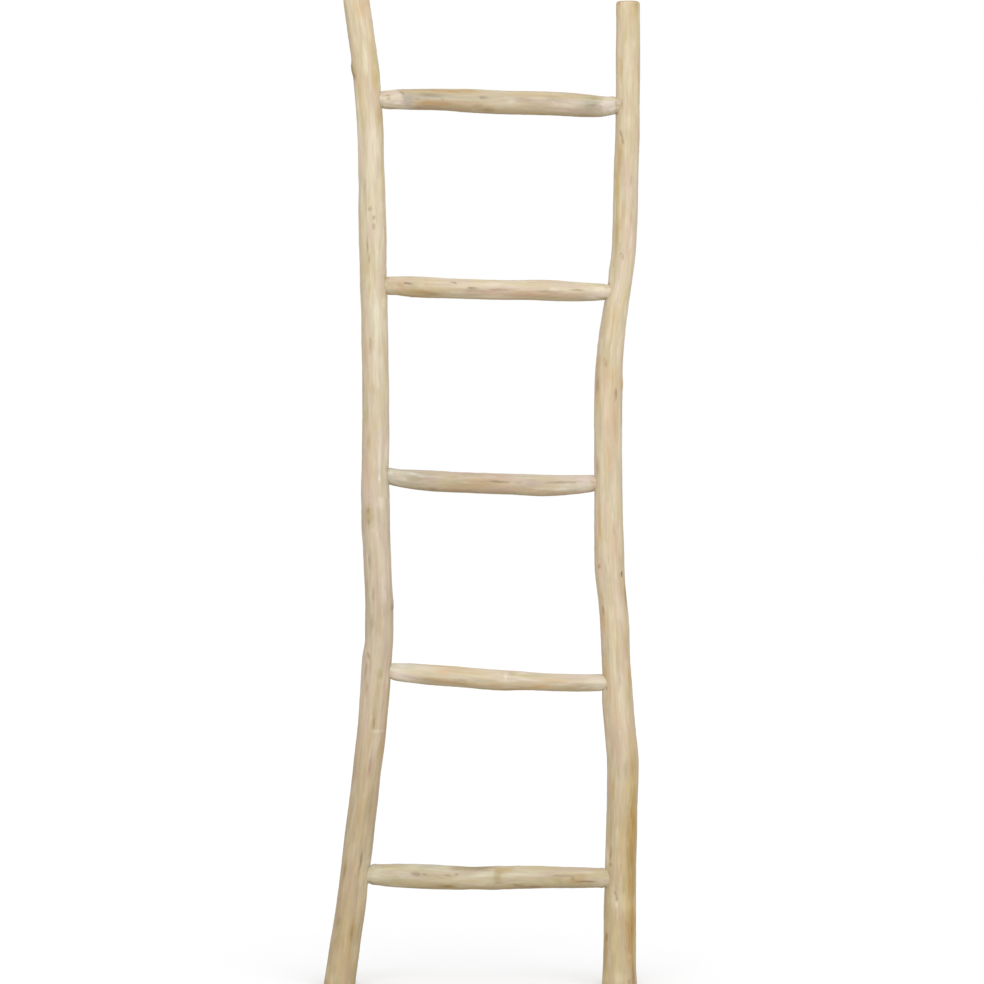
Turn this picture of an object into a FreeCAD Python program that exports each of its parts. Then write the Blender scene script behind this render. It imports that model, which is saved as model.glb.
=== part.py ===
"""Towel ladder of peeled branches: two crooked rails, five whittled rungs and ten locking nails.

Millimetres, +Z up, X across the ladder, -Y towards the person in front of it.
The origin is on the floor, in the middle of the ladder's box.
"""

import FreeCAD
import Part

import math
import os

Vector = FreeCAD.Vector

# Rails
LADDER_HEIGHT = 1600.0  # left rail, floor to top
RIGHT_RAIL_SHORTFALL = 6.0  # the right rail ends this far below the left one
FOOT_SPREAD = 454.0  # between the middles of the two feet
RAIL_WIDTH = 45.0  # usual thickness of a rail
LEFT_STRAY = 66.0  # furthest that the left rail leans in from above its foot
RIGHT_STRAY = 18.0  # furthest that the right rail wanders from above its foot
RAIL_BOW = 9.0  # furthest that a rail wanders forwards or back
TOP_ROUNDING = 4.0  # radius sanded round the top of a rail
FOOT_CHAMFER = 2.0  # arris taken off round a foot
RAIL_OVAL_SHARE = 0.05  # how far a rail's depth departs from its width
RAIL_OVAL_TURNS = 2.5  # swings of that oval from foot to top
RAIL_LOBE_SHARE = 0.018  # height of the three soft ridges round a rail, of its radius
RAIL_LOBE_TURNS = 0.6  # turns that the ridges make round a rail from foot to top
RAIL_SECTIONS = 44

# Rungs
TOP_RUNG_THICKNESS = 38.5
UPPER_RUNG_THICKNESS = 33.5
MIDDLE_RUNG_THICKNESS = 35.0
LOWER_RUNG_THICKNESS = 33.5
BOTTOM_RUNG_THICKNESS = 39.5
RUNG_BOW = 6.5  # furthest that a rung rises or sags from its straight line
RUNG_SWAY = 3.0  # furthest that a rung bends forwards or back
RUNG_OVAL_SHARE = 0.04
RUNG_LOBE_SHARE = 0.02
RUNG_SECTIONS = 24

# Whittled ends of the rungs
WHITTLE_LENGTH = 46.0  # how far the knife cuts reach along a rung
FACET_COUNT = 7
FACET_JITTER_SHARE = 0.12  # unevenness of the facets' widths
# Places along the whittled end, as shares of its length
WHITTLE_STEP_SHARES = (0.0, 0.4, 1.0)
WHITTLE_TENON_SHARE = 1.19  # facet corners at the rail, of the tenon's radius
WHITTLE_BODY_SHARE = 1.04  # facet corners halfway, of the rung's radius
WHITTLE_CLEAR_SHARE = 1.3  # facet corners past the cuts, of the rung's radius

# Joints
TENON_DIAMETER = 25.0
SOCKET_WALL = 12.0  # wood left in a rail behind the end of a tenon
GLUE_GAP = 0.1  # round a tenon and past its end
SOCKET_OFFSET = 5.0  # most that a socket is drilled in front of a rail's middle

# Locking nails, driven from behind
NAIL_LENGTH = 33.0
NAIL_DIAMETER = 2.4
NAIL_HEAD_DIAMETER = 4.6
NAIL_HEAD_HEIGHT = 1.2
NAIL_POINT_LENGTH = 3.5
NAIL_SET = 0.6  # depth of the head below the wood
NAIL_GAP = 0.05  # round a nail in its hole

CUT_OVERRUN = 20.0
RING_POINTS = 12
LOBES = 3

# Courses of the rails: height as a share of the ladder's, then place as a share of the rail's stray
LEFT_COURSE_SHARES = (
    (0.00, 0.000), (0.08, 0.290), (0.17, 0.555), (0.25, 0.790), (0.28, 0.860), (0.32, 0.920),
    (0.345, 0.980), (0.39, 1.000), (0.44, 0.940), (0.49, 0.890), (0.60, 0.900), (0.71, 0.855),
    (0.80, 0.815), (0.87, 0.775), (0.93, 0.660), (1.00, 0.415),
)
RIGHT_COURSE_SHARES = (
    (0.00, 0.00), (0.10, 0.09), (0.20, 0.32), (0.225, 0.36), (0.25, 0.19), (0.27, 0.00), (0.32, -0.23),
    (0.37, -0.42), (0.415, -0.81), (0.44, -0.90), (0.51, -0.99), (0.585, -0.99), (0.635, -0.86),
    (0.66, -0.62), (0.705, -0.04), (0.735, 0.33), (0.765, 0.53), (0.83, 0.68), (0.88, 0.80), (1.00, 0.80),
)
# Height, then how far back the rail lies, as a share of the rails' bow
LEFT_BOW_SHARES = ((0.0, 0.0), (0.2, 0.5), (0.42, 1.0), (0.65, 0.1), (0.85, -0.8), (1.0, -0.4))
RIGHT_BOW_SHARES = ((0.0, 0.0), (0.22, -0.7), (0.45, -0.2), (0.65, 1.0), (0.85, 0.4), (1.0, -0.5))
# Height, then thickness as a share of the rails' usual one
LEFT_GIRTH_SHARES = (
    (0.00, 1.150), (0.03, 1.110), (0.08, 1.080), (0.17, 1.045), (0.25, 1.045), (0.32, 1.080), (0.39, 1.045),
    (0.49, 1.010), (0.60, 0.970), (0.71, 0.970), (0.78, 1.000), (0.85, 0.935), (0.92, 0.970), (1.00, 0.935),
)
RIGHT_GIRTH_SHARES = (
    (0.00, 1.300), (0.026, 1.190), (0.05, 1.165), (0.10, 1.150), (0.15, 1.115), (0.20, 1.125),
    (0.225, 1.145), (0.27, 1.130), (0.295, 1.105), (0.32, 1.045), (0.39, 1.045), (0.43, 1.080),
    (0.465, 1.045), (0.51, 1.010), (0.585, 1.010), (0.61, 1.020), (0.635, 0.970), (0.66, 0.935),
    (0.685, 0.900), (0.78, 0.900), (0.88, 0.875), (1.00, 0.865),
)

# Each rung: its name and thickness, the heights of its left and right joints as shares of the ladder's,
# how far the two sockets lie in front of the rails' middles as shares of the most, then along it from left
# to right its thickness and its rise, as shares of its own thickness and of the rungs' bow
RUNGS = (
    {
        "name": "top_rung",
        "thickness": TOP_RUNG_THICKNESS,
        "joint_shares": (0.8973, 0.8907),
        "forward_shares": (0.0, 0.5),
        "girth_shares": (
            (0.00, 0.71), (0.04, 0.80), (0.12, 0.88), (0.29, 0.925), (0.38, 0.99), (0.70, 1.00),
            (0.80, 0.99), (0.89, 0.93), (0.95, 0.85), (1.00, 0.71),
        ),
        "rise_shares": (
            (0.0, 0.0), (0.12, 0.17), (0.25, 0.32), (0.38, 0.22), (0.50, 0.07), (0.63, 0.15), (0.76, 0.10),
            (0.85, -0.12), (0.93, -0.25), (1.0, 0.0),
        ),
    },
    {
        "name": "upper_rung",
        "thickness": UPPER_RUNG_THICKNESS,
        "joint_shares": (0.7094, 0.7025),
        "forward_shares": (-0.3, 0.5),
        "girth_shares": (
            (0.00, 0.82), (0.04, 0.91), (0.105, 1.00), (0.20, 1.00), (0.32, 0.965), (0.60, 0.965),
            (0.79, 1.00), (0.885, 0.92), (0.96, 0.84), (1.00, 0.81),
        ),
        "rise_shares": (
            (0.0, 0.0), (0.1, -0.2), (0.2, -0.3), (0.55, -0.3), (0.7, -0.05), (0.88, -0.12), (1.0, 0.0),
        ),
    },
    {
        "name": "middle_rung",
        "thickness": MIDDLE_RUNG_THICKNESS,
        "joint_shares": (0.5160, 0.5087),
        "forward_shares": (-0.4, 0.1),
        "girth_shares": (
            (0.00, 0.775), (0.06, 0.84), (0.15, 0.925), (0.25, 0.97), (0.49, 0.955), (0.68, 1.00),
            (0.78, 0.985), (0.88, 0.92), (0.96, 0.83), (1.00, 0.775),
        ),
        "rise_shares": (
            (0.0, 0.0), (0.05, -0.4), (0.15, -0.72), (0.25, -0.92), (0.40, -0.95), (0.60, -1.00),
            (0.78, -0.95), (0.88, -0.65), (1.0, 0.0),
        ),
    },
    {
        "name": "lower_rung",
        "thickness": LOWER_RUNG_THICKNESS,
        "joint_shares": (0.3187, 0.3072),
        "forward_shares": (-0.2, 0.5),
        "girth_shares": (
            (0.00, 0.81), (0.04, 0.90), (0.14, 0.965), (0.25, 1.00), (0.42, 1.00), (0.52, 0.965),
            (0.61, 0.92), (0.75, 0.87), (0.89, 0.84), (1.00, 0.81),
        ),
        "rise_shares": (
            (0.0, 0.0), (0.14, -0.37), (0.33, -0.60), (0.51, -0.80), (0.61, -0.67), (0.75, -0.65),
            (0.89, -0.37), (1.0, 0.0),
        ),
    },
    {
        "name": "bottom_rung",
        "thickness": BOTTOM_RUNG_THICKNESS,
        "joint_shares": (0.1124, 0.1094),
        "forward_shares": (-0.3, 1.0),
        "girth_shares": (
            (0.00, 0.72), (0.05, 0.89), (0.10, 0.945), (0.16, 0.99), (0.30, 1.00), (0.39, 0.985),
            (0.45, 0.92), (0.51, 0.97), (0.64, 0.94), (0.77, 0.90), (0.89, 0.86), (0.97, 0.80),
            (1.00, 0.72),
        ),
        "rise_shares": (
            (0.0, 0.0), (0.13, -0.22), (0.30, -0.47), (0.39, -0.55), (0.51, -0.45), (0.64, -0.22),
            (0.77, -0.02), (1.0, 0.0),
        ),
    },
)


def smooth(pairs, at):
    """The value at a place on the smooth curve through (place, value) pairs."""
    last = len(pairs) - 1
    span = 0
    while span < last - 1 and at > pairs[span + 1][0]:
        span += 1

    def slope(index):
        before = pairs[max(index - 1, 0)]
        after = pairs[min(index + 1, last)]
        return (after[1] - before[1]) / (after[0] - before[0])

    (start, low), (end, high) = pairs[span], pairs[span + 1]
    width = end - start
    t = (at - start) / width
    leave = slope(span) * width
    arrive = slope(span + 1) * width
    bend = 3 * (high - low) - 2 * leave - arrive
    twist = leave + arrive - 2 * (high - low)
    return low + t * (leave + t * (bend + t * twist))


def lobe_size(angle, lobe_share, lobe_turn):
    """How large a branch is at an angle round it, beside its plain oval."""
    return 1 + lobe_share * math.cos(LOBES * (angle - lobe_turn))


def ring(centre, across, along, lobe_share, lobe_turn):
    """A closed smooth outline round a centre, with half-axes across and along and three soft ridges."""
    points = []
    for index in range(RING_POINTS):
        angle = 2 * math.pi * index / RING_POINTS
        size = lobe_size(angle, lobe_share, lobe_turn)
        points.append(centre + across * (size * math.cos(angle)) + along * (size * math.sin(angle)))
    curve = Part.BSplineCurve()
    curve.interpolate(points, PeriodicFlag=True)
    return Part.Wire([curve.toShape()])


class Rail:
    """One crooked rail. inner is +1 if the rungs are on its +X side, and -1 if they are on its -X side."""

    def __init__(self, foot_x, inner, top, stray, course_shares, bow_shares, girth_shares):
        self.foot = Vector(foot_x, 0, 0)
        self.inner = inner
        self.top = top
        self.stray = stray
        self.course_shares = course_shares
        self.bow_shares = bow_shares
        self.girth_shares = girth_shares

    def middle(self, height):
        share = height / LADDER_HEIGHT
        sideways = self.stray * smooth(self.course_shares, share)
        back = RAIL_BOW * smooth(self.bow_shares, share)
        return self.foot + Vector(sideways, back, height)

    def half_width(self, height):
        return RAIL_WIDTH / 2 * smooth(self.girth_shares, height / LADDER_HEIGHT)

    def half_depth(self, height):
        # The two rails' ovals swing out of step
        swing = math.sin(2 * math.pi * RAIL_OVAL_TURNS * height / LADDER_HEIGHT + self.inner)
        return self.half_width(height) * (1 + RAIL_OVAL_SHARE * swing)

    def inner_edge(self, height, reach):
        """X of the rail's innermost wood within a reach above and below a height."""
        edges = []
        for step in (-reach, 0, reach):
            at = height + step
            edges.append(self.middle(at).x + self.inner * self.half_width(at))
        return max(edges, key=lambda edge: self.inner * edge)

    def lobe_turn(self, height):
        return 2 * math.pi * RAIL_LOBE_TURNS * height / LADDER_HEIGHT

    def back_edge(self, height):
        """Y of the wood straight behind the rail's middle."""
        size = lobe_size(math.pi / 2, RAIL_LOBE_SHARE, self.lobe_turn(height))
        return self.middle(height).y + self.half_depth(height) * size

    def outline(self, height):
        return ring(
            self.middle(height),
            Vector(self.half_width(height), 0, 0),
            Vector(0, self.half_depth(height), 0),
            RAIL_LOBE_SHARE,
            self.lobe_turn(height),
        )

    def solid(self):
        heights = [self.top * index / (RAIL_SECTIONS - 1) for index in range(RAIL_SECTIONS)]
        branch = Part.makeLoft([self.outline(height) for height in heights], True)
        top = max(branch.Faces, key=lambda face: face.CenterOfMass.z)
        branch = branch.makeFillet(TOP_ROUNDING, top.Edges)
        foot = min(branch.Faces, key=lambda face: face.CenterOfMass.z)
        return branch.makeChamfer(FOOT_CHAMFER, foot.Edges)


def make_rails():
    """The two rails, placed so that the middle of the ladder's width is at X zero."""
    left = Rail(
        0, 1, LADDER_HEIGHT, LEFT_STRAY, LEFT_COURSE_SHARES, LEFT_BOW_SHARES, LEFT_GIRTH_SHARES
    )
    right = Rail(
        FOOT_SPREAD,
        -1,
        LADDER_HEIGHT - RIGHT_RAIL_SHORTFALL,
        RIGHT_STRAY,
        RIGHT_COURSE_SHARES,
        RIGHT_BOW_SHARES,
        RIGHT_GIRTH_SHARES,
    )
    edges = []
    for rail in (left, right):
        for index in range(RAIL_SECTIONS):
            height = rail.top * index / (RAIL_SECTIONS - 1)
            edges.append(rail.middle(height).x - rail.half_width(height))
            edges.append(rail.middle(height).x + rail.half_width(height))
    shift = Vector(-(min(edges) + max(edges)) / 2, 0, 0)
    left.foot += shift
    right.foot += shift
    return left, right


def joint_point(rail, height, forward):
    """Where a rung's straight line meets the inner face of a rail."""
    reach = TENON_DIAMETER / 2
    return Vector(rail.inner_edge(height, reach), rail.middle(height).y - forward, height)


def tenon_depth(rail, height):
    """How far a tenon goes into a rail from its inner face."""
    return 2 * rail.half_width(height) - SOCKET_WALL


class Rung:
    """One rung, built along its own X from the left rail's face and then set between the rails."""

    def __init__(self, number, facts, left, right):
        self.number = number
        self.name = facts["name"]
        self.thickness = facts["thickness"]
        self.girth_shares = facts["girth_shares"]
        self.rise_shares = facts["rise_shares"]
        ends = []
        self.depths = []
        for rail, joint, forward in zip((left, right), facts["joint_shares"], facts["forward_shares"]):
            ends.append(joint_point(rail, joint * LADDER_HEIGHT, forward * SOCKET_OFFSET))
            self.depths.append(tenon_depth(rail, joint * LADDER_HEIGHT))
        self.start, self.end = ends
        self.length = (self.end - self.start).Length
        self.direction = (self.end - self.start).normalize()
        self.placement = FreeCAD.Placement(self.start, FreeCAD.Rotation(Vector(1, 0, 0), self.direction))

    def outline(self, share):
        half = self.thickness / 2 * smooth(self.girth_shares, share)
        sway = RUNG_SWAY * math.sin(math.pi * share) * math.cos(math.pi * self.number)
        rise = RUNG_BOW * smooth(self.rise_shares, share)
        return ring(
            Vector(self.length * share, sway, rise),
            Vector(0, half * (1 + RUNG_OVAL_SHARE * math.cos(self.number)), 0),
            Vector(0, 0, half),
            RUNG_LOBE_SHARE,
            self.number,
        )

    def facet_corners(self, along, corner):
        """Points round the rung's line, unevenly spaced, with the first one again at the end."""
        points = []
        for index in range(FACET_COUNT):
            uneven = FACET_JITTER_SHARE * math.sin(index * index + self.number)
            angle = self.number + 2 * math.pi * (index + uneven) / FACET_COUNT
            points.append(Vector(along, corner * math.cos(angle), corner * math.sin(angle)))
        return points + points[:1]

    def knife_envelope(self):
        """What the knife leaves: narrow facets at both ends, widening until they clear the rung."""
        corners = (
            WHITTLE_TENON_SHARE * TENON_DIAMETER / 2,
            WHITTLE_BODY_SHARE * self.thickness / 2,
            WHITTLE_CLEAR_SHARE * (self.thickness / 2 + RUNG_BOW),
        )
        near = [(WHITTLE_LENGTH * step, corner) for step, corner in zip(WHITTLE_STEP_SHARES, corners)]
        far = [(self.length - along, corner) for along, corner in reversed(near)]
        places = [(-CUT_OVERRUN, corners[0])] + near + far + [(self.length + CUT_OVERRUN, corners[0])]
        rings = [self.facet_corners(along, corner) for along, corner in places]
        faces = [Part.Face(Part.makePolygon(end)) for end in (rings[0], rings[-1])]
        for here, there in zip(rings, rings[1:]):
            for index in range(FACET_COUNT):
                quad = [here[index], here[index + 1], there[index + 1], there[index], here[index]]
                faces.append(Part.Face(Part.makePolygon(quad)))
        return Part.Solid(Part.Shell(faces))

    def tenons(self, gap, overrun):
        """The round ends in the rails, grown by a gap and lengthened towards the rung by an overrun."""
        radius = TENON_DIAMETER / 2 + gap
        faces = (Vector(overrun, 0, 0), Vector(self.length - overrun, 0, 0))
        outwards = (Vector(-1, 0, 0), Vector(1, 0, 0))
        pieces = []
        for face, depth, out in zip(faces, self.depths, outwards):
            tenon = Part.makeCylinder(radius, overrun + depth + gap, face, out)
            tenon.Placement = self.placement * tenon.Placement
            pieces.append(tenon)
        return pieces

    def solid(self):
        shares = [index / (RUNG_SECTIONS - 1) for index in range(RUNG_SECTIONS)]
        body = Part.makeLoft([self.outline(share) for share in shares], True)
        body = body.common(self.knife_envelope())
        body.Placement = self.placement * body.Placement
        return body.fuse(self.tenons(0, 0)).removeSplitter()


class Nail:
    """One nail, driven along -Y from the back of a rail through the tenon in it."""

    def __init__(self, rail, rung, rung_end):
        inwards = rail.middle(rung_end.z).x - rung_end.x
        crossing = rung_end + rung.direction * (inwards / rung.direction.x)
        self.head_top = Vector(crossing.x, rail.back_edge(crossing.z) - NAIL_SET, crossing.z)

    def piece(self, radius, start, length):
        """A cylinder along the nail, from a depth below the top of its head."""
        base = self.head_top - Vector(0, start, 0)
        return Part.makeCylinder(radius, length, base, Vector(0, -1, 0))

    def solid(self):
        head = self.piece(NAIL_HEAD_DIAMETER / 2, 0, NAIL_HEAD_HEIGHT)
        shank_length = NAIL_LENGTH - NAIL_POINT_LENGTH - NAIL_HEAD_HEIGHT
        shank = self.piece(NAIL_DIAMETER / 2, NAIL_HEAD_HEIGHT, shank_length)
        tip_base = self.head_top - Vector(0, NAIL_LENGTH - NAIL_POINT_LENGTH, 0)
        tip = Part.makeCone(NAIL_DIAMETER / 2, 0, NAIL_POINT_LENGTH, tip_base, Vector(0, -1, 0))
        return head.fuse([shank, tip]).removeSplitter()

    def hole(self):
        head = self.piece(
            NAIL_HEAD_DIAMETER / 2 + NAIL_GAP, -CUT_OVERRUN, CUT_OVERRUN + NAIL_HEAD_HEIGHT
        )
        shank = self.piece(NAIL_DIAMETER / 2 + NAIL_GAP, 0, NAIL_LENGTH + NAIL_GAP)
        return head.fuse(shank)


def make_parts():
    """Every piece of the ladder by name."""
    left, right = make_rails()
    rungs = [Rung(number, facts, left, right) for number, facts in enumerate(RUNGS)]
    rung_solids = {rung.name: rung.solid() for rung in rungs}
    parts = {}
    for index, (side, rail) in enumerate((("left", left), ("right", right))):
        branch = rail.solid()
        sockets = [rung.tenons(GLUE_GAP, CUT_OVERRUN)[index] for rung in rungs]
        holes = []
        for rung in rungs:
            nail = Nail(rail, rung, (rung.start, rung.end)[index])
            parts[f"{rung.name}_{side}_nail"] = nail.solid()
            hole = nail.hole()
            holes.append(hole)
            rung_solids[rung.name] = rung_solids[rung.name].cut(hole)
        parts[f"{side}_rail"] = branch.cut(sockets + holes)
    parts.update(rung_solids)
    return parts


def main():
    os.makedirs("parts", exist_ok=True)
    for name, shape in sorted(make_parts().items()):
        shape.exportStep(f"parts/{name}.step")
        print(f"{name}: {len(shape.Solids)} solid, {shape.Volume:.0f} mm3, valid {shape.isValid()}")


if __name__ == "__main__":
    main()
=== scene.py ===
"""Looks of the towel ladder: peeled branches with knots, knife cuts at the rungs' ends, soft studio light.

Metres, +Z up, X across the ladder, -Y towards the camera. Every branch follows its solid in the frame.
"""

import math
from typing import NamedTuple

import bmesh
import bpy
import numpy as np
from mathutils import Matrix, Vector
from mathutils.bvhtree import BVHTree


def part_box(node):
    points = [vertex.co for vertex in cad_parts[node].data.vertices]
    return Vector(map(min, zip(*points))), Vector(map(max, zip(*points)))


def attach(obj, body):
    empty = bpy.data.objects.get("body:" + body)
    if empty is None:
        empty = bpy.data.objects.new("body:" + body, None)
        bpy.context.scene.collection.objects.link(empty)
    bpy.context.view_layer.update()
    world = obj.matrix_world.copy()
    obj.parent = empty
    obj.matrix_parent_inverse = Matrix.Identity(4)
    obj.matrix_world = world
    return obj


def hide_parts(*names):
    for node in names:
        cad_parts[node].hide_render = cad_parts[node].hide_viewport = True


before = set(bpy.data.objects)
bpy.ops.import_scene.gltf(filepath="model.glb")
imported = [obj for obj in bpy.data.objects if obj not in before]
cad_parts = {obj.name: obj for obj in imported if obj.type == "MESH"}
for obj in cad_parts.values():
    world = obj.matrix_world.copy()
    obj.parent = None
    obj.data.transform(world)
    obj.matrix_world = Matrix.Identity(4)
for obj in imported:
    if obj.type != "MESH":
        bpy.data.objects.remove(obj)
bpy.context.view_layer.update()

RAILS = ("left_rail", "right_rail")
RAIL_SEEDS = (1, 5)
RUNGS = ("top_rung", "upper_rung", "middle_rung", "lower_rung", "bottom_rung")
RUNG_SEED = 10  # of the first, and one more for each other
MM = 0.001

# The photograph, which is taken straight from the front
IMAGE_SIDE = 984  # pixels
PIXEL = 1.62 * MM  # size of a pixel at the ladder
MIDDLE_PIXEL_X = 481.5  # the ladder's own middle
FLOOR_PIXEL_Y = 985.7  # the floor under the feet
CAMERA_DISTANCE = 8.0
CAMERA_REACH = 320.0
SENSOR_WIDTH = 36.0

# Studio light
SKY_LIGHT = 0.92
GROUND_LIGHT = 0.62  # light from below, which is warmer
GROUND_COLOUR = (1.06, 1.0, 0.86)
BACKDROP_WHITE = 1.0
HORIZON_BLUR = 0.15
SUN_LIGHT = 1.65
SUN_COLOUR = (1.0, 1.0, 1.03)
SUN_ANGLE = 60.0
SUN_AZIMUTH = 6.0  # degrees to the right of the camera
SUN_ELEVATION = 25.0
FLOOR_SIDE = 80.0
FLOOR_WHITE = 0.9

# Grids of the branches
RAIL_STEP = 1.8 * MM
RUNG_STEP = 1.2 * MM
SPOKES = 96
CROWDING_SHARE = 0.35  # how much closer than evenly the spokes stand at the front
RAY_START = 0.2  # rays start this far out from a branch's line
HOLE_DEPTH = 0.8 * MM  # what lies deeper than its surroundings by this is a hole
RAIL_HOLE_SPAN = 62 * MM  # stretch of surface that a hole is compared with
RUNG_HOLE_SPAN = 9 * MM
RAIL_SOFTNESS = 7 * MM
RUNG_SOFTNESS = 1.6 * MM
TOP_ROUNDING = 4.5 * MM
FOOT_ROUNDING = 2.5 * MM
TENON_ROUNDING = 1.0 * MM
ROUNDING_STEPS = 5
CAP_SHARES = (0.86, 0.7, 0.54, 0.38, 0.22)  # rings of an end's flat face, of its radius
CAP_RINGS = ROUNDING_STEPS + len(CAP_SHARES)

# Joints
SOCKET_GAP = 0.35 * MM
SOCKET_REACH = 60 * MM  # length of a socket's cutter
TENON_RING = 10  # the ring from a rung's end that gives the tenon's radius
TENON_RIM = 1.5 * MM  # points this near a rung's tip make the tenon's rim
NAIL_GAP = 0.05 * MM
NAIL_SINK = 1.2 * MM  # depth of the recess round a nail's head
NAIL_REACH = 20 * MM  # length of a recess's cutter
CUTTER_SIDES = 64
SHARP_EDGE = 40.0  # degrees

# Bake map
BAKE_MAP = "OFBake"
BAKE_BAND = 0.09  # share of the map below the strips, for ends and holes
BAKE_CELLS = 12
BAKE_MARGIN = 0.004
RAIL_STRIPS = 3
RUNG_STRIPS = 2
LOW_CAP_CELL = 0
HIGH_CAP_CELL = 1
SOCKET_CELL = 2  # of the first socket
NAIL_CELL = 7  # of the first nail
CUTTER_CELL_SHARES = (0.95, 0.5)  # of a cell, at a cutter's start and its end


class Waves(NamedTuple):
    """Smooth seeded waves over a branch."""

    length: float
    lobes: int  # round the branch, at most
    seed: int  # added to the branch's own


# Relief of the wood, and unevenness of its marks
WAVE_COUNT = 40
WAVE_LENGTH_SHARES = (0.6, 1.8)
SWELL = Waves(110 * MM, 4, 0)
SWELL_HEIGHT = 0.2 * MM
SCRAPE = Waves(20 * MM, 12, 1)
SCRAPE_HEIGHT = 0.06 * MM
WARP_ALONG = Waves(16 * MM, 8, 2)
WARP_ALONG_SIZE = 1.0 * MM
WARP_ACROSS = Waves(16 * MM, 8, 3)
WARP_ACROSS_SIZE = 0.25 * MM
STREAKS = Waves(45 * MM, 40, 4)
STREAK_SHARE = 0.15  # unevenness of a long mark
LONG_MARK = 12.0  # half length in pixels
MARK_EDGE_SHARE = 0.35  # a mark that the camera sees aslant isn't drawn out beyond this
MARK_FRONT_SHARE = 0.8  # of the radius: how far a mark lies in front of its branch's line

# Tints that multiply the wood's own colour
TINTS = {
    "bark": (0.46, 0.41, 0.31),
    # bone is the pale fresh wood, and also painted light where some marks lift shade
    "bone": (1.28, 1.36, 1.54),
    # brown is the wood's dark marks, and also a painted shadow at the top rung's right joint
    "brown": (0.56, 0.44, 0.33),
    "grey": (0.88, 0.93, 1.02),
    "mauve": (0.84, 0.78, 0.82),
    "moss": (0.93, 0.95, 0.66),
    "ochre": (0.88, 0.78, 0.52),
    "olive": (0.82, 0.85, 0.68),
    "orange": (0.92, 0.74, 0.52),
    "plain": (1.0, 1.0, 1.0),
    "rose": (1.02, 0.90, 0.90),
    "tan": (0.82, 0.72, 0.58),
    # umber is dark wood, and also a painted shadow at the top rung's right joint
    "umber": (0.28, 0.20, 0.14),
}

WOOD_COLOURS = {
    "cream": (0.620, 0.557, 0.422),
    "pale": (0.665, 0.620, 0.505),
    "straw": (0.580, 0.498, 0.340),
    "rose": (0.585, 0.484, 0.388),
    "sage": (0.508, 0.466, 0.344),
    "amber": (0.540, 0.420, 0.262),
    "brown": (0.300, 0.208, 0.126),
}


class Grain(NamedTuple):
    """A noise stretched along the grain."""

    across: float  # size in millimetres
    along: float
    detail: float
    shift: float  # keeps it apart from the other noises


# Patches in the wood: a noise, its values where the colour begins and is full, and the colour's share
WOOD_LAYERS = {
    "straw": (Grain(14, 100, 1, 0), (0.40, 0.62), 1.0),
    "amber": (Grain(7, 150, 1, 7), (0.54, 0.70), 0.6),
    "rose": (Grain(12, 80, 1, 14), (0.46, 0.64), 0.9),
    "sage": (Grain(9, 60, 1, 21), (0.52, 0.70), 0.65),
    "pale": (Grain(9, 60, 1, 28), (0.54, 0.70), 0.55),
}
# Lights and darks of the wood: a noise, and the levels between which it turns the colour
SHADES = {
    "streak": (Grain(4, 60, 2, 53), (0.965, 1.035)),
    "line": (Grain(1.6, 26, 1, 71), (0.98, 1.02)),
    "fibre": (Grain(0.5, 14, 3, 59), (0.965, 1.03)),
}
NOISE_SPAN = (0.3, 0.7)  # within which a noise mostly stays
NOISE_ROUGHNESS = 0.55
DASHES = Grain(1.1, 16, 1, 61)
DASH_SPAN = (0.70, 0.80)
DASH_SHARE = 0.5
CLUSTERS = Grain(12, 60, 1, 67)  # where dashes gather
CLUSTER_SPAN = (0.5, 0.65)
WOOD_ROUGHNESS = (0.70, 0.58)
WOOD_SHINE = 0.25
FIBRE_HEIGHT_SHARE = 0.5
DASH_DEPTH_SHARE = 0.6
BUMP_STRENGTH = 0.35
BUMP_DEPTH = 0.4 * MM
END_COLOURS = ((0.545, 0.445, 0.300), (0.425, 0.320, 0.200))  # growth rings on a sawn end, light and dark
END_DEPTH = 2.5 * MM  # the rings are full this far into an end's rounding
END_SPAN = (0.5, 1.0)  # of that depth
RING_SPACING = 4.4 * MM
RING_WAVE = 2 * math.pi / 20  # length of the wave texture's rings at a scale of 1
RING_UNEVENNESS = 6.0
RING_DETAIL = 2.0
PITH_OFFSET = (3 * MM, -2 * MM, 0)
UNDERSIDE_SHADE = (0.95, 0.90, 0.83)  # painted shade: the rungs darker and warmer underneath, but not the fresh wood at their ends
UNDERSIDE_SHARE = 0.1  # it begins this share of the radius above a rung's middle
FRESH_END = 40 * MM
FRESH_BLEND = 40 * MM

STEEL_COLOURS = ((0.42, 0.41, 0.40), (0.24, 0.20, 0.16))
STEEL_COLOUR_SPAN = (0.4, 0.65)
STEEL_ROUGHNESS = (0.35, 0.6)
STEEL_SPECKS = 900.0
STEEL_DETAIL = 3.0

# The mix node's sockets for colours: share and two colours, and the result
MIX_INPUTS = (0, 6, 7)
MIX_RESULT = 2
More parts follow.
